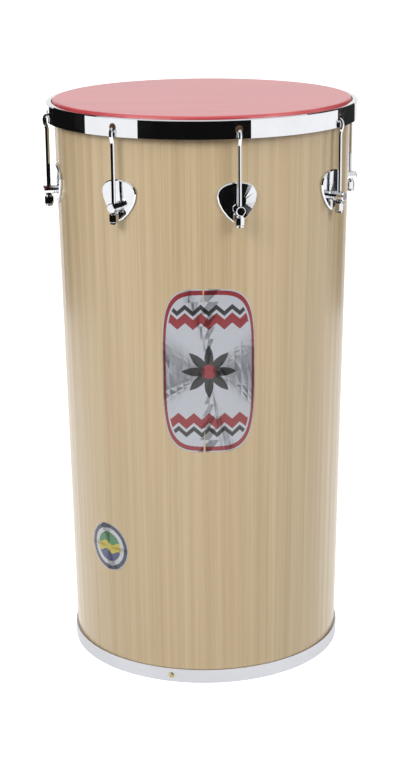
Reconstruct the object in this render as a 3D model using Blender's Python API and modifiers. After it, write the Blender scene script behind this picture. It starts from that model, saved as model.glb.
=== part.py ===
"""Tall hand drum with a tapered wooden shell, one tunable head and eight hook tuners.

The drum stands on its open lower end, with its axis on Z and its front towards -Y.
Each tuner is modelled at the front of the drum and carried round the shell by an
empty that turns about the drum's axis.
"""
import math

import bmesh
import bpy
from mathutils import Matrix, Vector

MM = 0.001

# Clearances between pieces
TOUCH_GAP = 0.3 * MM          # between two pieces that touch
ROD_CLEARANCE = 0.4 * MM      # round a rod in its bore, on the radius
SCREW_CLEARANCE = 0.3 * MM    # round a screw shank in its hole, on the radius
SPIGOT_CLEARANCE = 0.4 * MM   # round a post's spigot in plate and shell, on the radius

# Facets of the turned pieces
DRUM_STEPS = 64
POST_STEPS = 12
NUT_STEPS = 12
SCREW_STEPS = 8
WASHER_STEPS = 10

# Shell
SHELL_TOP_RADIUS = 177.8 * MM
SHELL_BOTTOM_RADIUS = 165.8 * MM
SHELL_WALL = 7.0 * MM
SHELL_HEIGHT = 686.4 * MM
BEARING_EDGE_ROUND = 2.0 * MM
BEARING_EDGE_CREST = 1.5 * MM

# Metal rim round the lower end of the shell
RIM_OUTER_RADIUS = 168.6 * MM
RIM_HEIGHT = 17.4 * MM
RIM_FLANGE_THICKNESS = 1.8 * MM
RIM_FLANGE_OVERHANG = 1.0 * MM
RIM_EDGE_ROUND = 0.8 * MM

# Screws that hold the rim
RIM_SCREW_COUNT = 3
FIRST_RIM_SCREW_ANGLE = -14.7
RIM_SCREW_HEAD_RADIUS = 3.4 * MM
RIM_SCREW_HEAD_HEIGHT = 1.6 * MM
RIM_SCREW_SHANK_RADIUS = 1.6 * MM
RIM_SCREW_LENGTH = 7.5 * MM

# Head and the ring that it is mounted on
HEAD_THICKNESS = 1.2 * MM
HEAD_EDGE_RADIUS = 3.0 * MM
FLESH_RING_ROD_RADIUS = 1.8 * MM
FLESH_RING_SIDES = 6

# Counterhoop that pulls the head down
HOOP_WALL = 2.0 * MM
HOOP_HEIGHT = 21.5 * MM
HOOP_FLANGE_WIDTH = 6.5 * MM
HOOP_TOP_BELOW_HEAD = 3.1 * MM
HOOP_EDGE_ROUND = 1.2 * MM
HOOK_HOLE_RADIUS = 4.5 * MM
HOOK_HOLE_ABOVE_HOOP_EDGE = 10.8 * MM

# Tuners: hook, post, plate and nut, the same eight times
TUNER_COUNT = 8
FIRST_TUNER_ANGLE = 12.7
ROD_RADIUS = 2.4 * MM
HOOK_BEND_RADIUS = 4.5 * MM
HOOK_TIP_LENGTH = 3.0 * MM
HOOK_TIP_INSIDE_HOOP = 1.3 * MM
STEM_SETBACK = 2.6 * MM
HOOK_SWEEP_LENGTH = 12.0 * MM
HOOK_BEND_STEPS = 6
HOOK_SWEEP_STEPS = 5

POST_BELOW_HOOP = 80.0 * MM
POST_RADIUS = 5.6 * MM
POST_BEYOND_ROD = 6.8 * MM
POST_CHAMFER = 1.0 * MM
POST_FOOT_RADIUS = 5.2 * MM
POST_FOOT_LENGTH = 1.6 * MM
POST_NECK_RADIUS = 4.5 * MM
POST_NECK_LENGTH = 1.0 * MM
SPIGOT_RADIUS = 3.9 * MM
SPIGOT_LENGTH_IN_SHELL = 4.0 * MM

PLATE_THICKNESS = 3.0 * MM
PLATE_WIDTH = 47.0 * MM
PLATE_ABOVE_POST = 30.5 * MM
PLATE_BELOW_POST = 17.0 * MM
PLATE_BEVEL = 1.3 * MM
PLATE_CENTRE_RING = 4.0 * MM   # height above the post of the centre of the inner rings

NUT_LENGTH = 13.0 * MM
NUT_ACROSS_FLATS = 9.2 * MM
NUT_NECK_RADIUS = 4.1 * MM
NUT_NECK_LENGTH = 1.4 * MM
NUT_COLLAR_RADIUS = 4.5 * MM
NUT_COLLAR_LENGTH = 2.0 * MM
NUT_GROOVE_RADIUS = 3.9 * MM
NUT_GROOVE_LENGTH = 0.7 * MM
ROD_SHORT_OF_NUT_END = 3.0 * MM

# Screw and washer inside the shell behind each post
LUG_SCREW_RADIUS = 2.5 * MM
LUG_SCREW_HEAD_RADIUS = 4.8 * MM
LUG_SCREW_HEAD_HEIGHT = 3.2 * MM
LUG_SCREW_REACH_SHORT_OF_ROD = 4.4 * MM
WASHER_RADIUS = 8.0 * MM
WASHER_THICKNESS = 1.4 * MM

# Heights and radii that follow from the sizes above
SHELL_FOOT = RIM_FLANGE_THICKNESS + TOUCH_GAP
SHELL_TOP = SHELL_FOOT + SHELL_HEIGHT
HEAD_TOP = SHELL_TOP + TOUCH_GAP + HEAD_THICKNESS
HOOP_TOP = HEAD_TOP - HOOP_TOP_BELOW_HEAD
HOOP_FOOT = HOOP_TOP - HOOP_HEIGHT
HOOK_HOLE_HEIGHT = HOOP_FOOT + HOOK_HOLE_ABOVE_HOOP_EDGE
POST_HEIGHT = HOOP_FOOT - POST_BELOW_HOOP

COLLAR_RADIUS = SHELL_TOP_RADIUS + TOUCH_GAP + HEAD_THICKNESS / 2
TUCK_RADIUS = FLESH_RING_ROD_RADIUS + TOUCH_GAP + HEAD_THICKNESS / 2
FLESH_RING_RADIUS = COLLAR_RADIUS + TUCK_RADIUS
HOOP_INNER_RADIUS = FLESH_RING_RADIUS + TUCK_RADIUS + HEAD_THICKNESS / 2 + TOUCH_GAP
HOOP_OUTER_RADIUS = HOOP_INNER_RADIUS + HOOP_WALL
FLESH_RING_HEIGHT = HOOP_TOP - HOOP_WALL - TOUCH_GAP - FLESH_RING_ROD_RADIUS

HOOK_INNER_LEG = HOOP_INNER_RADIUS - HOOK_TIP_INSIDE_HOOP - ROD_RADIUS
HOOK_OUTER_LEG = HOOK_INNER_LEG + 2 * HOOK_BEND_RADIUS
STEM_RADIUS = HOOK_OUTER_LEG - STEM_SETBACK
HOOK_BEND_HEIGHT = (HOOK_HOLE_HEIGHT - HOOK_HOLE_RADIUS + TOUCH_GAP
                    + ROD_RADIUS - HOOK_BEND_RADIUS)
NUT_TOP = POST_HEIGHT - POST_RADIUS - TOUCH_GAP
STEM_END = NUT_TOP - NUT_LENGTH + ROD_SHORT_OF_NUT_END


def shell_radius(height):
    """Outer radius of the tapered shell at a height above the floor."""
    share = (height - SHELL_FOOT) / SHELL_HEIGHT
    return SHELL_BOTTOM_RADIUS + (SHELL_TOP_RADIUS - SHELL_BOTTOM_RADIUS) * share


SHELL_RADIUS_AT_POST = shell_radius(POST_HEIGHT)
PLATE_BACK = SHELL_RADIUS_AT_POST + TOUCH_GAP
PLATE_FRONT = PLATE_BACK + PLATE_THICKNESS


def clear_scene():
    """Remove every object that the new file holds."""
    for item in list(bpy.data.objects):
        bpy.data.objects.remove(item, do_unlink=True)


clear_scene()
drum_collection = bpy.data.collections.new("hand_drum")
cutter_collection = bpy.data.collections.new("cutters")
bpy.context.scene.collection.children.link(drum_collection)
bpy.context.scene.collection.children.link(cutter_collection)


def make_material(name, colour, roughness, metallic):
    """Make a plain Principled material."""
    material = bpy.data.materials.new(name)
    material.use_nodes = True
    material.diffuse_color = (*colour, 1.0)
    shader = material.node_tree.nodes["Principled BSDF"]
    shader.inputs["Base Color"].default_value = (*colour, 1.0)
    shader.inputs["Roughness"].default_value = roughness
    shader.inputs["Metallic"].default_value = metallic
    return material


WOOD = make_material("pale_wood", (0.66, 0.50, 0.29), 0.38, 0.0)
CHROME = make_material("chrome_plate", (0.72, 0.73, 0.75), 0.08, 1.0)
ALUMINIUM = make_material("satin_aluminium", (0.36, 0.38, 0.41), 0.42, 1.0)
HEAD_RED = make_material("red_head", (0.52, 0.05, 0.07), 0.45, 0.0)
BRASS = make_material("brass", (0.50, 0.43, 0.16), 0.35, 1.0)
STEEL = make_material("zinc_steel", (0.55, 0.55, 0.56), 0.35, 1.0)


def add_object(name, mesh, material, collection=drum_collection):
    """Put a mesh in the scene under a name, with its material and smooth sides."""
    item = bpy.data.objects.new(name, mesh)
    collection.objects.link(item)
    if material is not None and not mesh.materials:
        mesh.materials.append(material)
    return item


def shade(mesh):
    """Shade round faces smooth and keep the corners sharp."""
    mesh.shade_smooth()
    mesh.set_sharp_from_angle(angle=math.radians(40))


def turned(name, profile, steps, material, closed=True, collection=drum_collection):
    """Turn a profile of (radius, height) points about Z, from its outer top down."""
    points = [Vector((radius, 0.0, height)) for radius, height in profile]
    edges = [(i, i + 1) for i in range(len(points) - 1)]
    if closed:
        edges.append((len(points) - 1, 0))
    mesh = bpy.data.meshes.new(name)
    mesh.from_pydata(points, edges, [])
    item = add_object(name, mesh, material, collection)
    screw = item.modifiers.new("turn", "SCREW")
    screw.axis = "Z"
    screw.angle = math.tau
    screw.steps = steps
    screw.render_steps = steps
    screw.use_merge_vertices = True
    screw.merge_threshold = 0.00001
    screw.use_smooth_shade = True
    return item


def arc(centre, radius, start, end, count):
    """Points along an arc in the (radius, height) plane, angles in degrees."""
    points = []
    for i in range(count + 1):
        angle = math.radians(start + (end - start) * i / count)
        points.append((centre[0] + radius * math.cos(angle),
                       centre[1] + radius * math.sin(angle)))
    return points


def front_rotation(angle):
    """Turn about the drum's axis that carries the front (-Y) to an angle in degrees."""
    return Matrix.Rotation(math.radians(angle), 4, "Z")


# Turns a piece made upright so that its top points outwards at the front, along -Y
OUTWARDS = Matrix.Rotation(math.radians(90), 4, "X")


def tuner_angles():
    """Angles of the eight tuners about the drum's axis."""
    return [FIRST_TUNER_ANGLE + 360.0 * i / TUNER_COUNT for i in range(TUNER_COUNT)]


def rim_screw_angles():
    """Angles of the rim's screws about the drum's axis."""
    return [FIRST_RIM_SCREW_ANGLE + 360.0 * i / RIM_SCREW_COUNT
            for i in range(RIM_SCREW_COUNT)]


def radial_bores(name, angles, height, radius, inner, outer, sides):
    """One cutter holding a cylinder along the radius at each angle."""
    work = bmesh.new()
    middle = Matrix.Translation((0.0, -(inner + outer) / 2, height))
    for angle in angles:
        bmesh.ops.create_cone(
            work, cap_ends=True, segments=sides, radius1=radius, radius2=radius,
            depth=outer - inner, matrix=front_rotation(angle) @ middle @ OUTWARDS)
    mesh = bpy.data.meshes.new(name)
    work.to_mesh(mesh)
    work.free()
    return hide_cutter(add_object(name, mesh, None, cutter_collection))


def hide_cutter(cutter):
    """Leave a cutter out of the drum."""
    cutter.hide_render = True
    cutter.display_type = "WIRE"
    return cutter


def boolean(item, cutter, operation="DIFFERENCE"):
    """Cut a piece with a cutter, or keep only what lies inside it."""
    cut = item.modifiers.new(cutter.name, "BOOLEAN")
    cut.operation = operation
    cut.object = cutter


def make_shell():
    """Tapered wooden tube with a rounded bearing edge and the holes for posts and screws."""
    top = SHELL_TOP
    inner_top = SHELL_TOP_RADIUS - SHELL_WALL
    crest_inner = SHELL_TOP_RADIUS - BEARING_EDGE_ROUND - BEARING_EDGE_CREST
    inner_bevel = crest_inner - inner_top
    profile = [
        (SHELL_TOP_RADIUS - BEARING_EDGE_ROUND, top),
        (shell_radius(top - BEARING_EDGE_ROUND), top - BEARING_EDGE_ROUND),
        (SHELL_BOTTOM_RADIUS, SHELL_FOOT),
        (SHELL_BOTTOM_RADIUS - SHELL_WALL, SHELL_FOOT),
        (shell_radius(top - inner_bevel) - SHELL_WALL, top - inner_bevel),
        (crest_inner, top),
    ]
    shell = turned("shell", profile, DRUM_STEPS, WOOD)
    boolean(shell, radial_bores(
        "post_spigot_holes", tuner_angles(), POST_HEIGHT, SPIGOT_RADIUS + SPIGOT_CLEARANCE,
        SHELL_RADIUS_AT_POST - 2 * SHELL_WALL, SHELL_RADIUS_AT_POST + SHELL_WALL, POST_STEPS))
    boolean(shell, radial_bores(
        "rim_screw_pilot_holes", rim_screw_angles(), RIM_HEIGHT / 2,
        RIM_SCREW_SHANK_RADIUS + SCREW_CLEARANCE,
        RIM_OUTER_RADIUS - RIM_SCREW_LENGTH - TOUCH_GAP,
        RIM_OUTER_RADIUS + RIM_SCREW_LENGTH, SCREW_STEPS))
    return shell


def make_bottom_rim():
    """Metal angle ring: a wall round the shell and a flange under its lower edge."""
    seat = SHELL_BOTTOM_RADIUS + TOUCH_GAP
    profile = [
        (RIM_OUTER_RADIUS, RIM_HEIGHT),
        (RIM_OUTER_RADIUS, RIM_EDGE_ROUND),
        (RIM_OUTER_RADIUS - RIM_EDGE_ROUND, 0.0),
        (SHELL_BOTTOM_RADIUS - SHELL_WALL - RIM_FLANGE_OVERHANG, 0.0),
        (SHELL_BOTTOM_RADIUS - SHELL_WALL - RIM_FLANGE_OVERHANG, RIM_FLANGE_THICKNESS),
        (seat, RIM_FLANGE_THICKNESS),
        (shell_radius(RIM_HEIGHT) + TOUCH_GAP, RIM_HEIGHT),
    ]
    rim = turned("bottom_rim", profile, DRUM_STEPS, ALUMINIUM)
    boolean(rim, radial_bores(
        "rim_screw_holes", rim_screw_angles(), RIM_HEIGHT / 2,
        RIM_SCREW_SHANK_RADIUS + SCREW_CLEARANCE,
        SHELL_BOTTOM_RADIUS - SHELL_WALL / 2, RIM_OUTER_RADIUS + RIM_SCREW_LENGTH,
        SCREW_STEPS))
    return rim


def make_rim_screws():
    """Brass wood screws with low round heads, set through the rim into the shell."""
    tip = -RIM_SCREW_LENGTH
    profile = [
        (0.0, RIM_SCREW_HEAD_HEIGHT),
        (RIM_SCREW_HEAD_RADIUS * 0.6, RIM_SCREW_HEAD_HEIGHT * 0.85),
        (RIM_SCREW_HEAD_RADIUS, RIM_SCREW_HEAD_HEIGHT * 0.25),
        (RIM_SCREW_HEAD_RADIUS, 0.0),
        (RIM_SCREW_SHANK_RADIUS, 0.0),
        (RIM_SCREW_SHANK_RADIUS, tip + RIM_SCREW_SHANK_RADIUS),
        (0.0, tip),
    ]
    under_head = Matrix.Translation((0.0, -RIM_OUTER_RADIUS - TOUCH_GAP, RIM_HEIGHT / 2))
    for i, angle in enumerate(rim_screw_angles()):
        screw = turned(f"rim_screw_{i + 1}", profile, SCREW_STEPS, BRASS, closed=False)
        screw.matrix_world = front_rotation(angle) @ under_head @ OUTWARDS


def make_drumhead():
    """Skin over the bearing edge, down the shell's side and up round the flesh ring."""
    level = HEAD_TOP - HEAD_THICKNESS / 2
    corner = (COLLAR_RADIUS - HEAD_EDGE_RADIUS, level - HEAD_EDGE_RADIUS)
    profile = [(0.0, level)]
    profile += arc(corner, HEAD_EDGE_RADIUS, 90, 0, 3)
    profile += arc((FLESH_RING_RADIUS, FLESH_RING_HEIGHT), TUCK_RADIUS, 180, 360, 3)
    head = turned("drumhead", profile, DRUM_STEPS, HEAD_RED, closed=False)
    skin = head.modifiers.new("skin", "SOLIDIFY")
    skin.thickness = HEAD_THICKNESS
    skin.offset = 0.0
    skin.use_even_offset = True
    return head


def make_flesh_ring():
    """Round metal ring that the skin is lapped over, under the counterhoop's flange."""
    centre = (FLESH_RING_RADIUS, FLESH_RING_HEIGHT)
    profile = arc(centre, FLESH_RING_ROD_RADIUS, 120, -180, FLESH_RING_SIDES - 1)
    return turned("flesh_ring", profile, DRUM_STEPS, STEEL)


def make_counterhoop():
    """Angle-section hoop: a band with eight holes and a flange that bears on the head's ring."""
    lip = HOOP_OUTER_RADIUS - HOOP_FLANGE_WIDTH
    profile = [
        (lip, HOOP_TOP),
        (HOOP_OUTER_RADIUS - HOOP_EDGE_ROUND, HOOP_TOP),
        (HOOP_OUTER_RADIUS, HOOP_TOP - HOOP_EDGE_ROUND),
        (HOOP_OUTER_RADIUS, HOOP_FOOT),
        (HOOP_INNER_RADIUS, HOOP_FOOT),
        (HOOP_INNER_RADIUS, HOOP_TOP - HOOP_WALL),
        (lip, HOOP_TOP - HOOP_WALL),
    ]
    hoop = turned("counterhoop", profile, DRUM_STEPS, CHROME)
    boolean(hoop, radial_bores(
        "hook_holes", tuner_angles(), HOOK_HOLE_HEIGHT, HOOK_HOLE_RADIUS,
        HOOP_INNER_RADIUS - HOOP_WALL, HOOP_OUTER_RADIUS + HOOP_WALL, POST_STEPS))
    return hoop


def hook_points():
    """Centre line of a hook at the front, from its tip inside the hoop to its stem's end."""
    middle = (HOOK_INNER_LEG + HOOK_BEND_RADIUS, HOOK_BEND_HEIGHT)
    path = [(HOOK_INNER_LEG, HOOK_BEND_HEIGHT - HOOK_TIP_LENGTH)]
    path += arc(middle, HOOK_BEND_RADIUS, 180, 0, HOOK_BEND_STEPS)
    for i in range(HOOK_SWEEP_STEPS + 1):
        share = i / HOOK_SWEEP_STEPS
        inwards = STEM_SETBACK * (1 - math.cos(math.pi * share)) / 2
        path.append((HOOK_OUTER_LEG - inwards,
                     HOOK_BEND_HEIGHT - HOOK_TIP_LENGTH / 2 - HOOK_SWEEP_LENGTH * share))
    path.append((STEM_RADIUS, STEM_END))
    return [Vector((0.0, -radius, height)) for radius, height in path]


def make_hook_curve():
    """Round rod bent into a hook at the top, swept in to a straight stem."""
    curve = bpy.data.curves.new("tuning_hook", "CURVE")
    curve.dimensions = "3D"
    curve.bevel_depth = ROD_RADIUS
    curve.bevel_resolution = 2
    curve.use_fill_caps = True
    points = hook_points()
    spline = curve.splines.new("POLY")
    spline.points.add(len(points) - 1)
    for target, point in zip(spline.points, points):
        target.co = (*point, 1.0)
    curve.materials.append(CHROME)
    return curve


def plate_outline():
    """Half-rounded shield as (width, height) points: broad shoulders, sides drawn to a tip."""
    half = PLATE_WIDTH / 2
    shoulder = PLATE_ABOVE_POST * 0.50
    points = []
    for i in range(7):
        angle = math.radians(90 * i / 6)
        points.append((half * math.sin(angle) ** 0.90,
                       shoulder + (PLATE_ABOVE_POST - shoulder) * math.cos(angle) ** 0.90))
    for share, width in ((0.25, 0.93), (0.50, 0.76), (0.75, 0.50), (0.93, 0.22)):
        points.append((half * width, shoulder - (shoulder + PLATE_BELOW_POST) * share))
    mirrored = [(-x, z) for x, z in reversed(points[1:])]
    return points + [(0.0, -PLATE_BELOW_POST)] + mirrored


def wrap_on_shell(point):
    """Bend a point (width, depth, height above the post) of a flat plate round the shell."""
    height = POST_HEIGHT + point.z
    lean = shell_radius(height) - SHELL_RADIUS_AT_POST
    radius = PLATE_BACK + lean + point.y
    angle = point.x / PLATE_FRONT
    return Vector((radius * math.sin(angle), -radius * math.cos(angle), height))


def make_plate_mesh():
    """Curved plate with a bevelled front edge, from its flat outline."""
    work = bmesh.new()
    back = [work.verts.new((x, 0.0, z)) for x, z in plate_outline()]
    back_face = work.faces.new(back)
    grown = bmesh.ops.extrude_face_region(work, geom=[back_face])
    front = [part for part in grown["geom"] if isinstance(part, bmesh.types.BMFace)]
    front_verts = [part for part in grown["geom"] if isinstance(part, bmesh.types.BMVert)]
    bmesh.ops.translate(work, verts=front_verts, vec=(0.0, PLATE_THICKNESS - PLATE_BEVEL, 0.0))
    bmesh.ops.recalc_face_normals(work, faces=work.faces)
    bmesh.ops.inset_region(work, faces=front, thickness=PLATE_BEVEL, depth=PLATE_BEVEL,
                           use_even_offset=True)
    backs = [face for face in work.faces if face.normal.y < -0.9]
    for faces in (front, backs):
        bmesh.ops.inset_region(work, faces=faces, thickness=PLATE_BEVEL / 4)
        inner = list({vert for face in faces for vert in face.verts})
        bmesh.ops.scale(work, verts=inner, vec=(0.45, 1.0, 0.45),
                        space=Matrix.Translation((0.0, 0.0, -PLATE_CENTRE_RING)))
    for vert in work.verts:
        vert.co = wrap_on_shell(vert.co)
    bmesh.ops.triangulate(work, faces=work.faces)
    bmesh.ops.recalc_face_normals(work, faces=work.faces)
    mesh = bpy.data.meshes.new("lug_plate")
    work.to_mesh(mesh)
    work.free()
    shade(mesh)
    mesh.materials.append(CHROME)
    return mesh


def post_profile():
    """Profile of a post, with height 0 on the drum's axis and its top outwards."""
    end = STEM_RADIUS + POST_BEYOND_ROD
    foot = PLATE_FRONT + TOUCH_GAP
    neck = foot + POST_FOOT_LENGTH
    barrel = neck + POST_NECK_LENGTH
    inner_end = SHELL_RADIUS_AT_POST - SPIGOT_LENGTH_IN_SHELL
    bore = LUG_SCREW_RADIUS + SCREW_CLEARANCE
    bore_end = STEM_RADIUS - LUG_SCREW_REACH_SHORT_OF_ROD + TOUCH_GAP
    return [
        (0.0, end),
        (POST_RADIUS - POST_CHAMFER, end),
        (POST_RADIUS, end - POST_CHAMFER),
        (POST_RADIUS, barrel),
        (POST_NECK_RADIUS, neck),
        (POST_FOOT_RADIUS, neck),
        (POST_FOOT_RADIUS, foot),
        (SPIGOT_RADIUS, foot),
        (SPIGOT_RADIUS, inner_end),
        (bore, inner_end),
        (bore, bore_end),
        (0.0, bore_end),
    ]


def lug_screw_profile():
    """Profile of a lug screw, with height 0 on the drum's axis and its tip outwards."""
    under_head = washer_inner_face() - TOUCH_GAP
    head = under_head - LUG_SCREW_HEAD_HEIGHT
    tip = STEM_RADIUS - LUG_SCREW_REACH_SHORT_OF_ROD - TOUCH_GAP
    return [
        (0.0, tip),
        (LUG_SCREW_RADIUS, tip),
        (LUG_SCREW_RADIUS, under_head),
        (LUG_SCREW_HEAD_RADIUS, under_head),
        (LUG_SCREW_HEAD_RADIUS, head + LUG_SCREW_HEAD_HEIGHT * 0.5),
        (LUG_SCREW_HEAD_RADIUS * 0.6, head),
        (0.0, head),
    ]


def washer_outer_face():
    """Distance from the axis at which a flat washer just clears the curved inner wall."""
    inner = shell_radius(POST_HEIGHT - WASHER_RADIUS) - SHELL_WALL
    flat_of_facet = inner * math.cos(math.pi / DRUM_STEPS)
    return math.sqrt(flat_of_facet ** 2 - WASHER_RADIUS ** 2) - TOUCH_GAP


def washer_inner_face():
    """Distance from the axis of the washer's face under the screw's head."""
    return washer_outer_face() - WASHER_THICKNESS


def make_nut_profile():
    """Profile of a tuning nut before its flats are cut, with height 0 at its top."""
    bore = ROD_RADIUS + ROD_CLEARANCE
    corner = NUT_ACROSS_FLATS / 2 / math.cos(math.pi / 6)
    body_top = -NUT_NECK_LENGTH
    collar_top = -(NUT_LENGTH - NUT_COLLAR_LENGTH)
    body_end = collar_top + NUT_GROOVE_LENGTH
    slope = corner - NUT_COLLAR_RADIUS
    return [
        (NUT_NECK_RADIUS, 0.0),
        (NUT_NECK_RADIUS, body_top),
        (corner, body_top - slope),
        (corner, body_end),
        (NUT_GROOVE_RADIUS, body_end),
        (NUT_COLLAR_RADIUS, collar_top),
        (NUT_COLLAR_RADIUS, -NUT_LENGTH),
        (bore, -NUT_LENGTH),
        (bore, 0.0),
    ]


def make_nut_flats():
    """Hexagonal cutter that gives each tuning nut its flats."""
    work = bmesh.new()
    corner = NUT_ACROSS_FLATS / 2 / math.cos(math.pi / 6)
    bmesh.ops.create_cone(
        work, cap_ends=True, segments=6, radius1=corner, radius2=corner,
        depth=2 * NUT_LENGTH, matrix=Matrix.Translation((0.0, 0.0, -NUT_LENGTH / 2)))
    mesh = bpy.data.meshes.new("nut_flats")
    work.to_mesh(mesh)
    work.free()
    return mesh


def make_tuners():
    """Eight tuners, each carried to its place by an empty on the drum's axis."""
    hook_curve = make_hook_curve()
    plate_mesh = make_plate_mesh()
    flats_mesh = make_nut_flats()
    for i, angle in enumerate(tuner_angles()):
        number = i + 1
        station = bpy.data.objects.new(f"tuner_station_{number}", None)
        station.rotation_euler = (0.0, 0.0, math.radians(angle))
        drum_collection.objects.link(station)

        hook = bpy.data.objects.new(f"tuning_hook_{number}", hook_curve)
        drum_collection.objects.link(hook)
        hook.parent = station

        plate = add_object(f"lug_plate_{number}", plate_mesh, CHROME)
        plate.parent = station
        boolean(plate, radial_bores(
            f"plate_hole_{number}", [angle], POST_HEIGHT, SPIGOT_RADIUS + SPIGOT_CLEARANCE,
            PLATE_BACK - PLATE_THICKNESS, PLATE_FRONT + PLATE_THICKNESS, POST_STEPS))

        outwards = Matrix.Translation((0.0, 0.0, POST_HEIGHT)) @ OUTWARDS
        post = turned(f"lug_post_{number}", post_profile(), POST_STEPS, CHROME, closed=False)
        post.parent = station
        post.matrix_local = outwards

        bore = turned(f"rod_bore_{number}", [
            (0.0, 2 * POST_RADIUS),
            (ROD_RADIUS + ROD_CLEARANCE, 2 * POST_RADIUS),
            (ROD_RADIUS + ROD_CLEARANCE, -2 * POST_RADIUS),
            (0.0, -2 * POST_RADIUS),
        ], POST_STEPS, CHROME, closed=False, collection=cutter_collection)
        bore.parent = station
        bore.location = (0.0, -STEM_RADIUS, POST_HEIGHT)
        boolean(post, hide_cutter(bore))

        lug_screw = turned(f"lug_screw_{number}", lug_screw_profile(), SCREW_STEPS, STEEL,
                           closed=False)
        lug_screw.parent = station
        lug_screw.matrix_local = outwards

        washer = turned(f"lug_washer_{number}", [
            (WASHER_RADIUS, washer_outer_face()),
            (WASHER_RADIUS, washer_inner_face()),
            (LUG_SCREW_RADIUS + SCREW_CLEARANCE, washer_inner_face()),
            (LUG_SCREW_RADIUS + SCREW_CLEARANCE, washer_outer_face()),
        ], WASHER_STEPS, STEEL)
        washer.parent = station
        washer.matrix_local = outwards

        nut = turned(f"tuning_nut_{number}", make_nut_profile(), NUT_STEPS, CHROME)
        nut.parent = station
        nut.location = (0.0, -STEM_RADIUS, NUT_TOP)
        flats = add_object(f"nut_flats_{number}", flats_mesh, None, cutter_collection)
        flats.parent = station
        flats.location = nut.location
        boolean(nut, hide_cutter(flats), "INTERSECT")


make_shell()
make_bottom_rim()
make_rim_screws()
make_drumhead()
make_flesh_ring()
make_counterhoop()
make_tuners()
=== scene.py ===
"""Looks of the hand drum: veneer, chrome, skin and printed labels, the studio and the camera."""

import math

import bmesh
import bpy
from mathutils import Matrix, Vector


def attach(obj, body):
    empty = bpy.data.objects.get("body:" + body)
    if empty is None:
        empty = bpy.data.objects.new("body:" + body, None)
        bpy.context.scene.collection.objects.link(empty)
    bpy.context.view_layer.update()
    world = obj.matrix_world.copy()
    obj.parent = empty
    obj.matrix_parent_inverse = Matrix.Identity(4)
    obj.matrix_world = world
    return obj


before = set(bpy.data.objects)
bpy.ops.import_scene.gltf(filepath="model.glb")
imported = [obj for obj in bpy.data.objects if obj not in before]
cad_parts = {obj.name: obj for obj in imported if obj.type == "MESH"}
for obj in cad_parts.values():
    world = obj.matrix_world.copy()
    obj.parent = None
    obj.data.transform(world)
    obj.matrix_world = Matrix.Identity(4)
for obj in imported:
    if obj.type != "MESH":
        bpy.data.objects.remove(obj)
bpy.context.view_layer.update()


# Shell: a tube a little narrower at its foot, faced with pale veneer.
# The veneer's grain runs straight up, and a clear satin lacquer lies over it.
class Value:
    """A number that varies over a surface, with Math nodes behind its operators."""

    def __init__(self, tree, socket):
        self.tree = tree
        self.socket = socket

    def _math(self, operation, *values):
        return self.tree.node("ShaderNodeMath", {"operation": operation}, dict(enumerate(values)))

    def __add__(self, other):
        return self._math("ADD", self, other)

    def __radd__(self, other):
        return self._math("ADD", other, self)

    def __sub__(self, other):
        return self._math("SUBTRACT", self, other)

    def __rsub__(self, other):
        return self._math("SUBTRACT", other, self)

    def __mul__(self, other):
        return self._math("MULTIPLY", self, other)

    def __rmul__(self, other):
        return self._math("MULTIPLY", other, self)

    def __truediv__(self, other):
        return self._math("DIVIDE", self, other)

    def __pow__(self, other):
        return self._math("POWER", self, other)

    def __gt__(self, other):
        return self._math("GREATER_THAN", self, other)

    def __lt__(self, other):
        return self._math("LESS_THAN", self, other)

    def sin(self):
        return self._math("SINE", self)

    def abs(self):
        return self._math("ABSOLUTE", self)

    def arctan2(self, other):
        return self._math("ARCTAN2", self, other)

    def sqrt(self):
        return self._math("SQRT", self)

    def wrapped(self):
        """The part after the decimal point."""
        return self._math("FRACT", self)

    def ramp(self, low, high):
        """0 below low, 1 above high, smooth between."""
        return self.tree.node("ShaderNodeMapRange", {"interpolation_type": "SMOOTHSTEP"},
                              {"Value": self, "From Min": low, "From Max": high})


class NodeTree:
    """A tree of nodes, with one method that makes any node that isn't plain maths."""

    def __init__(self, tree):
        self.nodes = tree.nodes
        self.links = tree.links

    def node(self, kind, settings=None, sockets=None, outputs=0):
        made = self.nodes.new(kind)
        for setting, value in (settings or {}).items():
            setattr(made, setting, value)
        for key, value in (sockets or {}).items():
            self.connect(value, made.inputs[key])
        if isinstance(outputs, tuple):
            return [Value(self, made.outputs[key]) for key in outputs]
        return Value(self, made.outputs[outputs])

    def connect(self, value, socket):
        if isinstance(value, Value):
            self.links.new(value.socket, socket)
        elif socket.type == "RGBA":
            socket.default_value = (*value, 1.0)
        else:
            socket.default_value = value


class Finish(NodeTree):
    """A material of the drum, with the patterns that its surfaces use."""

    def __init__(self, name, **shader_values):
        self.material = bpy.data.materials.new(name)
        self.material.use_nodes = True
        super().__init__(self.material.node_tree)
        self.shader = self.nodes["Principled BSDF"]
        for socket_name, value in shader_values.items():
            self.set(socket_name.replace("_", " "), value)

    def set(self, socket_name, value):
        self.connect(value, self.shader.inputs[socket_name])

    def split(self, vector):
        return self.node("ShaderNodeSeparateXYZ", sockets={0: vector}, outputs=(0, 1, 2))

    def place(self):
        """Object coordinates in metres, as one vector and as its three parts."""
        vector = self.node("ShaderNodeTexCoord", outputs="Object")
        return vector, *self.split(vector)

    def vector(self, x, y, z=0.0):
        return self.node("ShaderNodeCombineXYZ", sockets={0: x, 1: y, 2: z})

    def noise(self, vector, scale=1.0, detail=2.0, roughness=0.5):
        return self.node("ShaderNodeTexNoise", {"noise_dimensions": "3D"},
                         {"Vector": vector, "Scale": scale, "Detail": detail,
                          "Roughness": roughness})

    def mix(self, share, first, second):
        """A colour between two; its sockets go by number, as each name stands for several."""
        return self.node("ShaderNodeMix", {"data_type": "RGBA"},
                         {0: share, 6: first, 7: second}, outputs=2)

    def bump(self, height, strength, distance):
        return self.node("ShaderNodeBump", sockets={"Height": height, "Strength": strength,
                                                    "Distance": distance})


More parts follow.
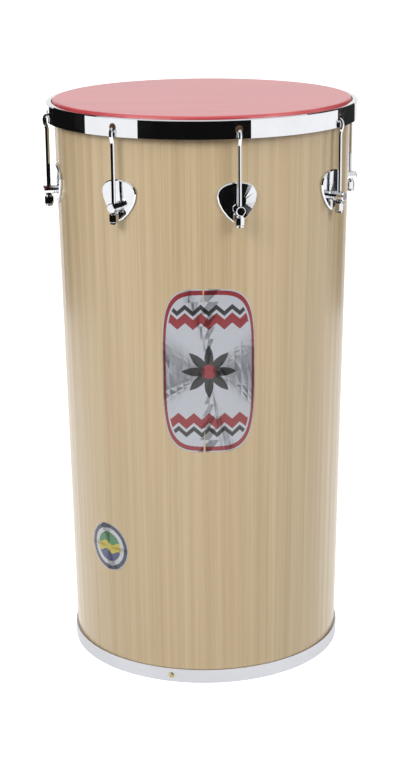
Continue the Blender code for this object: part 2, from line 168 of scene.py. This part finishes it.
def dress(finish, *kinds):
    """Give a finish to every node of the frame whose name starts with one of the kinds."""
    for name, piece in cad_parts.items():
        if name.startswith(kinds):
            piece.data.materials.clear()
            piece.data.materials.append(finish.material)


VENEER_DARK = (0.60, 0.43, 0.235)
VENEER_LIGHT = (0.78, 0.62, 0.39)
VENEER_TONE_RANGE = (0.30, 0.70)
FIGURE_SHARE = 0.5
GRAIN_SHARE = 0.35
PORE_SHARE = 0.15
VENEER_ROUGHNESS = 0.30
VENEER_ROUGHNESS_CHANGE = 0.12


def shell_finish():
    wood = Finish("pale_veneer", Coat_Weight=0.35, Coat_Roughness=0.16)
    _, x, y, z = wood.place()
    around = x.arctan2(0.0 - y)

    def upright(across, along):
        """Coordinates with so many steps a radian round the shell and a metre up it."""
        return wood.vector(around * across, z * along)

    figure = wood.noise(upright(across=14.0, along=0.9), scale=1.2, detail=3.0)
    grain = wood.noise(upright(across=120.0, along=3.0), detail=4.0, roughness=0.6)
    pores = wood.noise(upright(across=420.0, along=14.0), roughness=0.6)
    tone = figure * FIGURE_SHARE + grain * GRAIN_SHARE + pores * PORE_SHARE
    wood.set("Base Color", wood.mix(tone.ramp(*VENEER_TONE_RANGE), VENEER_DARK, VENEER_LIGHT))
    wood.set("Roughness", VENEER_ROUGHNESS + grain * VENEER_ROUGHNESS_CHANGE)
    wood.set("Normal", wood.bump(pores, strength=0.08, distance=0.0003))
    return wood


dress(shell_finish(), "shell")


# Metal rim: an aluminium angle rolled to a ring, satin and faintly brushed along its length.
# Three dull brass screws hold it through its wall to the shell.
RIM_DARK = (0.46, 0.47, 0.50)
RIM_LIGHT = (0.53, 0.54, 0.57)
RIM_ROUGHNESS = 0.36
RIM_ROUGHNESS_CHANGE = 0.14
BRUSH_STEPS_ROUND = 6.0
BRUSH_STEPS_UP = 900.0
BRASS_STAIN = (0.25, 0.22, 0.08)
BRASS_CLEAN = (0.62, 0.55, 0.25)
BRASS_STAIN_RANGE = (0.35, 0.65)


def rim_finish():
    satin = Finish("satin_aluminium", Metallic=1.0)
    vector, x, y, z = satin.place()
    brush_place = satin.vector(x.arctan2(y) * BRUSH_STEPS_ROUND, z * BRUSH_STEPS_UP)
    brushed = satin.noise(brush_place, detail=3.0)
    clouds = satin.noise(vector, scale=14.0)
    satin.set("Base Color", satin.mix(clouds, RIM_DARK, RIM_LIGHT))
    satin.set("Roughness", RIM_ROUGHNESS + brushed * RIM_ROUGHNESS_CHANGE)
    return satin


def brass_finish():
    brass = Finish("dull_brass", Metallic=1.0, Roughness=0.35)
    vector = brass.place()[0]
    stain = brass.noise(vector, scale=900.0, detail=3.0)
    brass.set("Base Color", brass.mix(stain.ramp(*BRASS_STAIN_RANGE), BRASS_STAIN, BRASS_CLEAN))
    return brass


dress(rim_finish(), "bottom_rim")
dress(brass_finish(), "rim_screw")


# Head: coated skin pressed to shape, red with fine pale streaks, on a zinc-plated steel ring.
# The same plating is on the machine screws and washers inside the shell.
SKIN_DEEP = (0.50, 0.030, 0.045)
SKIN_PALE = (0.60, 0.075, 0.085)
SKIN_STREAK_RANGE = (0.3, 0.7)
STREAK_STEPS_ACROSS = 40.0
STREAK_STEPS_ALONG = 3.0
SKIN_ROUGHNESS = 0.38
SKIN_ROUGHNESS_CHANGE = 0.12
ZINC_DARK = (0.45, 0.46, 0.47)
ZINC_LIGHT = (0.62, 0.62, 0.60)
ZINC_ROUGHNESS = 0.25
ZINC_ROUGHNESS_CHANGE = 0.15


def head_finish():
    skin = Finish("red_head_skin", Coat_Weight=0.8, Coat_Roughness=0.3)
    vector, x, y, z = skin.place()
    streak_place = skin.vector(x * STREAK_STEPS_ALONG, y * STREAK_STEPS_ACROSS,
                               z * STREAK_STEPS_ALONG)
    streaks = skin.noise(streak_place, detail=4.0, roughness=0.6)
    grain = skin.noise(vector, scale=900.0, detail=3.0, roughness=0.6)
    skin.set("Base Color", skin.mix(streaks.ramp(*SKIN_STREAK_RANGE), SKIN_DEEP, SKIN_PALE))
    skin.set("Roughness", SKIN_ROUGHNESS + streaks * SKIN_ROUGHNESS_CHANGE)
    skin.set("Normal", skin.bump(grain, strength=0.12, distance=0.0002))
    return skin


def zinc_finish():
    zinc = Finish("zinc_steel", Metallic=1.0)
    vector = zinc.place()[0]
    spots = zinc.noise(vector, scale=240.0, detail=3.0)
    zinc.set("Base Color", zinc.mix(spots, ZINC_DARK, ZINC_LIGHT))
    zinc.set("Roughness", ZINC_ROUGHNESS + spots * ZINC_ROUGHNESS_CHANGE)
    return zinc


dress(head_finish(), "drumhead")
dress(zinc_finish(), "flesh_ring", "lug_screw", "lug_washer")


# Counterhoop, hooks, posts, plates and nuts: polished chrome over steel and zinc castings.
# The chrome is bright and even, with the faintest haze from handling.
CHROME_DARK = (0.60, 0.61, 0.64)
CHROME_LIGHT = (0.70, 0.71, 0.73)
CHROME_ROUGHNESS = 0.05
CHROME_ROUGHNESS_CHANGE = 0.05


def chrome_finish():
    chrome = Finish("polished_chrome", Metallic=1.0)
    vector = chrome.place()[0]
    haze = chrome.noise(vector, scale=35.0, detail=3.0)
    chrome.set("Base Color", chrome.mix(haze, CHROME_DARK, CHROME_LIGHT))
    chrome.set("Roughness", CHROME_ROUGHNESS + haze * CHROME_ROUGHNESS_CHANGE)
    return chrome


dress(chrome_finish(), "counterhoop", "tuning_hook", "lug_plate", "lug_post", "tuning_nut")


# Badge: a large printed vinyl label on the front of the shell, with rounded corners.
# White ground in a red border, a red and a black zigzag above and below, and a star.
SHELL_FOOT_RADIUS = 0.1658
SHELL_HEAD_RADIUS = 0.1778
SHELL_FOOT_HEIGHT = 0.0021
SHELL_HEAD_HEIGHT = 0.6885
LABEL_THICKNESS = 0.00015
LABEL_LIFT = 0.00008
LABEL_EDGE_STEPS = 96
LABEL_RING_SHARES = (0.85, 0.7, 0.55, 0.4, 0.25, 0.1)
LABEL_RING_START = 0.001
LABEL_SHARP_ANGLE = math.radians(50)
VINYL_FADE = 0.08
VINYL_ROUGHNESS_CHANGE = 0.1


def shell_radius(height):
    share = (height - SHELL_FOOT_HEIGHT) / (SHELL_HEAD_HEIGHT - SHELL_FOOT_HEIGHT)
    return SHELL_FOOT_RADIUS + (SHELL_HEAD_RADIUS - SHELL_FOOT_RADIUS) * share


def rounded(share, squareness):
    """A sine or cosine, pushed outwards so that a circle becomes a rounded rectangle."""
    return math.copysign(abs(share) ** squareness, share)


def place_sheet(name, sheet, finish):
    mesh = bpy.data.meshes.new(name)
    sheet.to_mesh(mesh)
    sheet.free()
    mesh.materials.append(finish.material)
    placed = bpy.data.objects.new(name, mesh)
    bpy.context.scene.collection.objects.link(placed)
    return placed


def make_label(name, width, length, squareness, angle, height, finish):
    """A thin label wrapped on the shell, with its flat place kept in a UV map in metres."""
    sheet = bmesh.new()
    bmesh.ops.create_circle(sheet, cap_ends=True, segments=LABEL_EDGE_STEPS, radius=1.0)
    middle = list(sheet.faces)
    for share in LABEL_RING_SHARES:
        bmesh.ops.inset_region(sheet, faces=middle, thickness=LABEL_RING_START,
                               use_boundary=True)
        for vert in {vert for face in middle for vert in face.verts}:
            vert.co = vert.co.normalized() * share
    for vert in sheet.verts:
        around = math.atan2(vert.co.y, vert.co.x)
        across = vert.co.length * rounded(math.cos(around), squareness)
        along = vert.co.length * rounded(math.sin(around), squareness)
        vert.co = Vector((across * width / 2, 0.0, along * length / 2))
    flat = sheet.loops.layers.uv.new("flat")
    for face in sheet.faces:
        for loop in face.loops:
            loop[flat].uv = (loop.vert.co.x, loop.vert.co.z)
    bmesh.ops.solidify(sheet, geom=list(sheet.faces), thickness=LABEL_THICKNESS)
    for vert in sheet.verts:
        level = height + vert.co.z
        turn = angle + vert.co.x / shell_radius(height)
        out = shell_radius(level) + LABEL_LIFT + abs(vert.co.y)
        vert.co = Vector((out * math.sin(turn), -out * math.cos(turn), level))
    bmesh.ops.recalc_face_normals(sheet, faces=sheet.faces)
    label = place_sheet(name, sheet, finish)
    label.data.shade_smooth()
    label.data.set_sharp_from_angle(angle=LABEL_SHARP_ANGLE)
    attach(label, "drum_body")


def flat_place(finish):
    """The label's flat coordinates, in metres from its middle."""
    return finish.split(finish.node("ShaderNodeUVMap", {"uv_map": "flat"}))[:2]


BADGE_WIDTH = 0.108
BADGE_LENGTH = 0.196
BADGE_SQUARENESS = 0.5
BADGE_ANGLE = math.radians(1.9)
BADGE_HEIGHT = 0.3955
BADGE_WHITE = (0.62, 0.64, 0.70)
BADGE_RED = (0.30, 0.010, 0.018)
BADGE_BLACK = (0.012, 0.012, 0.014)
BADGE_GREY = (0.5, 0.5, 0.5)
BORDER_START = 0.93
BORDER_END = 0.985
ZIGZAG_LIMIT = 0.9
ZIGZAG_STEP = 0.018
ZIGZAG_DEPTH = 0.016
ZIGZAG_HEIGHT = 0.058
RED_BAND_END = 0.012
BLACK_BAND_START = 0.016
BLACK_BAND_END = 0.022
STAR_POINTS = 8
STAR_INNER_RADIUS = 0.013
STAR_POINT_LENGTH = 0.019
STAR_HEART_RADIUS = 0.0085
BADGE_ROUGHNESS = 0.24


def edge_share(x, z, width, length, squareness):
    """1 on the edge of the label's outline, and less inside it."""
    power = 2.0 / squareness
    return ((x.abs() / (width / 2)) ** power + (z.abs() / (length / 2)) ** power) ** (1.0 / power)


def badge_finish():
    vinyl = Finish("printed_badge", Coat_Weight=0.4, Coat_Roughness=0.1)
    x, z = flat_place(vinyl)
    edge = edge_share(x, z, BADGE_WIDTH, BADGE_LENGTH, BADGE_SQUARENESS)
    colour = vinyl.mix((edge > BORDER_START) * (edge < BORDER_END), BADGE_WHITE, BADGE_RED)
    zigzag = ((x / ZIGZAG_STEP).wrapped() - 0.5).abs() * ZIGZAG_DEPTH
    band = z.abs() - ZIGZAG_HEIGHT + zigzag
    printed = edge < ZIGZAG_LIMIT
    colour = vinyl.mix((band > 0.0) * (band < RED_BAND_END) * printed, colour, BADGE_RED)
    colour = vinyl.mix((band > BLACK_BAND_START) * (band < BLACK_BAND_END) * printed, colour,
                       BADGE_BLACK)
    reach = (x * x + z * z).sqrt()
    ray = ((z.arctan2(x) * (STAR_POINTS / math.tau)).wrapped() - 0.5).abs() * 2.0
    star = reach < STAR_INNER_RADIUS + ray * STAR_POINT_LENGTH
    colour = vinyl.mix(star, colour, BADGE_BLACK)
    colour = vinyl.mix(reach < STAR_HEART_RADIUS, colour, BADGE_RED)
    fade = vinyl.noise(vinyl.vector(x, z), scale=60.0, detail=3.0)
    vinyl.set("Base Color", vinyl.mix(fade * VINYL_FADE, colour, BADGE_GREY))
    vinyl.set("Roughness", BADGE_ROUGHNESS + fade * VINYL_ROUGHNESS_CHANGE)
    return vinyl


make_label("front_badge", BADGE_WIDTH, BADGE_LENGTH, BADGE_SQUARENESS, BADGE_ANGLE,
           BADGE_HEIGHT, badge_finish())


# Round sticker: a small printed vinyl seal low on the left of the shell.
# A navy ring round a white one, with green, yellow and blue waves in the middle.
STICKER_SIZE = 0.0605
STICKER_SQUARENESS = 1.0
STICKER_ANGLE = math.radians(-44.0)
STICKER_HEIGHT = 0.161
STICKER_YELLOW = (0.62, 0.50, 0.02)
STICKER_GREEN = (0.02, 0.20, 0.05)
STICKER_BLUE = (0.015, 0.03, 0.16)
STICKER_WHITE = (0.66, 0.68, 0.70)
STICKER_NAVY = (0.012, 0.02, 0.07)
STICKER_GREY = (0.4, 0.4, 0.4)
WAVES_PER_METRE = 300.0
WAVE_DEPTH = 0.0022
GREEN_ABOVE = 0.005
BLUE_BELOW = -0.006
STICKER_ROUGHNESS = 0.22
STICKER_RINGS = ((0.62, STICKER_WHITE), (0.80, STICKER_NAVY), (0.97, STICKER_WHITE))


def sticker_finish():
    vinyl = Finish("printed_sticker", Coat_Weight=0.5, Coat_Roughness=0.1)
    x, z = flat_place(vinyl)
    reach = (x * x + z * z).sqrt() / (STICKER_SIZE / 2)
    wave = z + (x * WAVES_PER_METRE).sin() * WAVE_DEPTH
    colour = vinyl.mix(wave > GREEN_ABOVE, STICKER_YELLOW, STICKER_GREEN)
    colour = vinyl.mix(wave < BLUE_BELOW, colour, STICKER_BLUE)
    for ring_start, ring_colour in STICKER_RINGS:
        colour = vinyl.mix(reach > ring_start, colour, ring_colour)
    fade = vinyl.noise(vinyl.vector(x, z), scale=90.0, detail=3.0)
    vinyl.set("Base Color", vinyl.mix(fade * VINYL_FADE, colour, STICKER_GREY))
    vinyl.set("Roughness", STICKER_ROUGHNESS + fade * VINYL_ROUGHNESS_CHANGE)
    return vinyl


make_label("round_sticker", STICKER_SIZE, STICKER_SIZE, STICKER_SQUARENESS, STICKER_ANGLE,
           STICKER_HEIGHT, sticker_finish())


# Studio: a white paper floor that takes the drum's shadow, and a white room round it.
# Two soft lamps light the drum, and dark cards out of view give the chrome black reflections.
FLOOR_REACH = 12.0
PAPER_DARK = (0.90, 0.90, 0.90)
PAPER_LIGHT = (0.92, 0.92, 0.92)
PAPER_GLOW = 0.62


def seen_rays(tree):
    """1 for what the camera sees, straight or mirrored in the metal, and 0 for other light."""
    camera_ray, glossy_ray = tree.node("ShaderNodeLightPath",
                                       outputs=("Is Camera Ray", "Is Glossy Ray"))
    return camera_ray + glossy_ray


def make_floor():
    paper = Finish("white_paper", Roughness=0.9)
    cloud = paper.noise(paper.place()[0], scale=1.5)
    paper.set("Base Color", paper.mix(cloud, PAPER_DARK, PAPER_LIGHT))
    plain = Value(paper, paper.shader.outputs[0])
    glow = paper.node("ShaderNodeEmission", sockets={"Strength": PAPER_GLOW})
    bright = paper.node("ShaderNodeAddShader", sockets={0: plain, 1: glow})
    shown = paper.node("ShaderNodeMixShader", sockets={0: seen_rays(paper), 1: plain, 2: bright})
    paper.connect(shown, paper.nodes["Material Output"].inputs["Surface"])
    sheet = bmesh.new()
    bmesh.ops.create_grid(sheet, x_segments=1, y_segments=1, size=FLOOR_REACH)
    floor = place_sheet("studio_floor", sheet, paper)
    floor.visible_diffuse = False


CARD_REACH = 1.7
CARD_HEIGHT = 2.6
CARD_FOOT = 0.01
CARD_STEPS = 16
CARD_MOTTLE = 0.2
DARK_CARDS = (("camera_side_card", -44, 34, 0.012), ("left_rear_card", -144, -90, 0.012),
              ("right_rear_card", 114, 150, 0.05))


def make_card(name, start, end, shade):
    """An upright curved card round the drum, from one angle in degrees to another."""
    felt = Finish(name, Roughness=1.0, Specular_IOR_Level=0.0)
    cloud = felt.noise(felt.place()[0], scale=4.0)
    felt.set("Base Color", felt.mix(cloud, (shade * (1.0 - CARD_MOTTLE),) * 3,
                                    (shade * (1.0 + CARD_MOTTLE),) * 3))
    sheet = bmesh.new()
    low = sheet.verts.new((CARD_REACH * math.sin(math.radians(start)),
                           -CARD_REACH * math.cos(math.radians(start)), CARD_FOOT))
    high = sheet.verts.new(low.co + Vector((0.0, 0.0, CARD_HEIGHT)))
    edge = sheet.edges.new((low, high))
    bmesh.ops.spin(sheet, geom=[low, high, edge], axis=(0, 0, 1), cent=(0, 0, 0),
                   angle=math.radians(end - start), steps=CARD_STEPS)
    card = place_sheet(name, sheet, felt)
    card.visible_camera = False
    card.visible_diffuse = False
    card.visible_shadow = False


ROOM_FLOOR_LEVEL = -0.3
ROOM_TOP_LEVEL = 0.8
ROOM_FLOOR_LIGHT = 0.18
ROOM_TOP_LIGHT = 0.85


def make_room():
    """A world that looks white, and lights the drum more from above than from below."""
    world = bpy.data.worlds.new("studio")
    bpy.context.scene.world = world
    world.use_nodes = True
    room = NodeTree(world.node_tree)
    direction = room.node("ShaderNodeTexCoord", outputs="Generated")
    upward = room.node("ShaderNodeSeparateXYZ", sockets={0: direction}, outputs="Z")
    light = room.node("ShaderNodeMapRange", sockets={
        "Value": upward, "From Min": ROOM_FLOOR_LEVEL, "From Max": ROOM_TOP_LEVEL,
        "To Min": ROOM_FLOOR_LIGHT, "To Max": ROOM_TOP_LIGHT})
    strength = room.node("ShaderNodeMix", {"data_type": "FLOAT"},
                         {0: seen_rays(room), 2: light, 3: 1.0})
    background = room.nodes["Background"]
    room.connect((1.0, 1.0, 1.0), background.inputs["Color"])
    room.connect(strength, background.inputs["Strength"])


LAMP_TARGET = Vector((0.0, 0.0, 0.6))


def make_lamp(name, place, width, height, watts):
    lamp = bpy.data.lights.new(name, "AREA")
    lamp.shape = "RECTANGLE"
    lamp.size = width
    lamp.size_y = height
    lamp.energy = watts
    holder = bpy.data.objects.new(name, lamp)
    holder.location = place
    holder.rotation_euler = (LAMP_TARGET - Vector(place)).to_track_quat("-Z", "Y").to_euler()
    bpy.context.scene.collection.objects.link(holder)


make_floor()
for card_values in DARK_CARDS:
    make_card(*card_values)
make_room()
make_lamp("key_lamp", place=(-1.3, -1.5, 1.7), width=0.9, height=0.9, watts=20.0)
make_lamp("fill_lamp", place=(1.5, -1.2, 1.6), width=0.7, height=0.9, watts=12.0)


# Camera: the photograph's view, from a little above the head and about two metres away.
# Its frame stands upright, so the sensor's long side is the frame's height.
CAMERA_DISTANCE = 2.1388
CAMERA_HEIGHT = 0.9625
CAMERA_YAW = -0.0024
CAMERA_PITCH = 0.2859
CAMERA_ROLL = -0.009
FOCAL_PIXELS = 1777.0
FRAME_LONG_SIDE = 762.0
SENSOR_LONG_SIDE = 36.0


def make_camera():
    level_share = math.cos(CAMERA_PITCH)
    forward = Vector((math.sin(CAMERA_YAW) * level_share, math.cos(CAMERA_YAW) * level_share,
                      -math.sin(CAMERA_PITCH)))
    level = Vector((math.cos(CAMERA_YAW), -math.sin(CAMERA_YAW), 0.0))
    upward = level.cross(forward)
    right = math.cos(CAMERA_ROLL) * level + math.sin(CAMERA_ROLL) * upward
    top = math.cos(CAMERA_ROLL) * upward - math.sin(CAMERA_ROLL) * level
    lens = bpy.data.cameras.new("photo_camera")
    lens.sensor_width = SENSOR_LONG_SIDE
    lens.lens = FOCAL_PIXELS / FRAME_LONG_SIDE * SENSOR_LONG_SIDE
    camera = bpy.data.objects.new("photo_camera", lens)
    turn = Matrix((right, top, -forward)).transposed().to_4x4()
    camera.matrix_world = Matrix.Translation((0.0, -CAMERA_DISTANCE, CAMERA_HEIGHT)) @ turn
    bpy.context.scene.collection.objects.link(camera)
    bpy.context.scene.camera = camera


make_camera()
bpy.context.scene.view_settings.view_transform = "Standard"
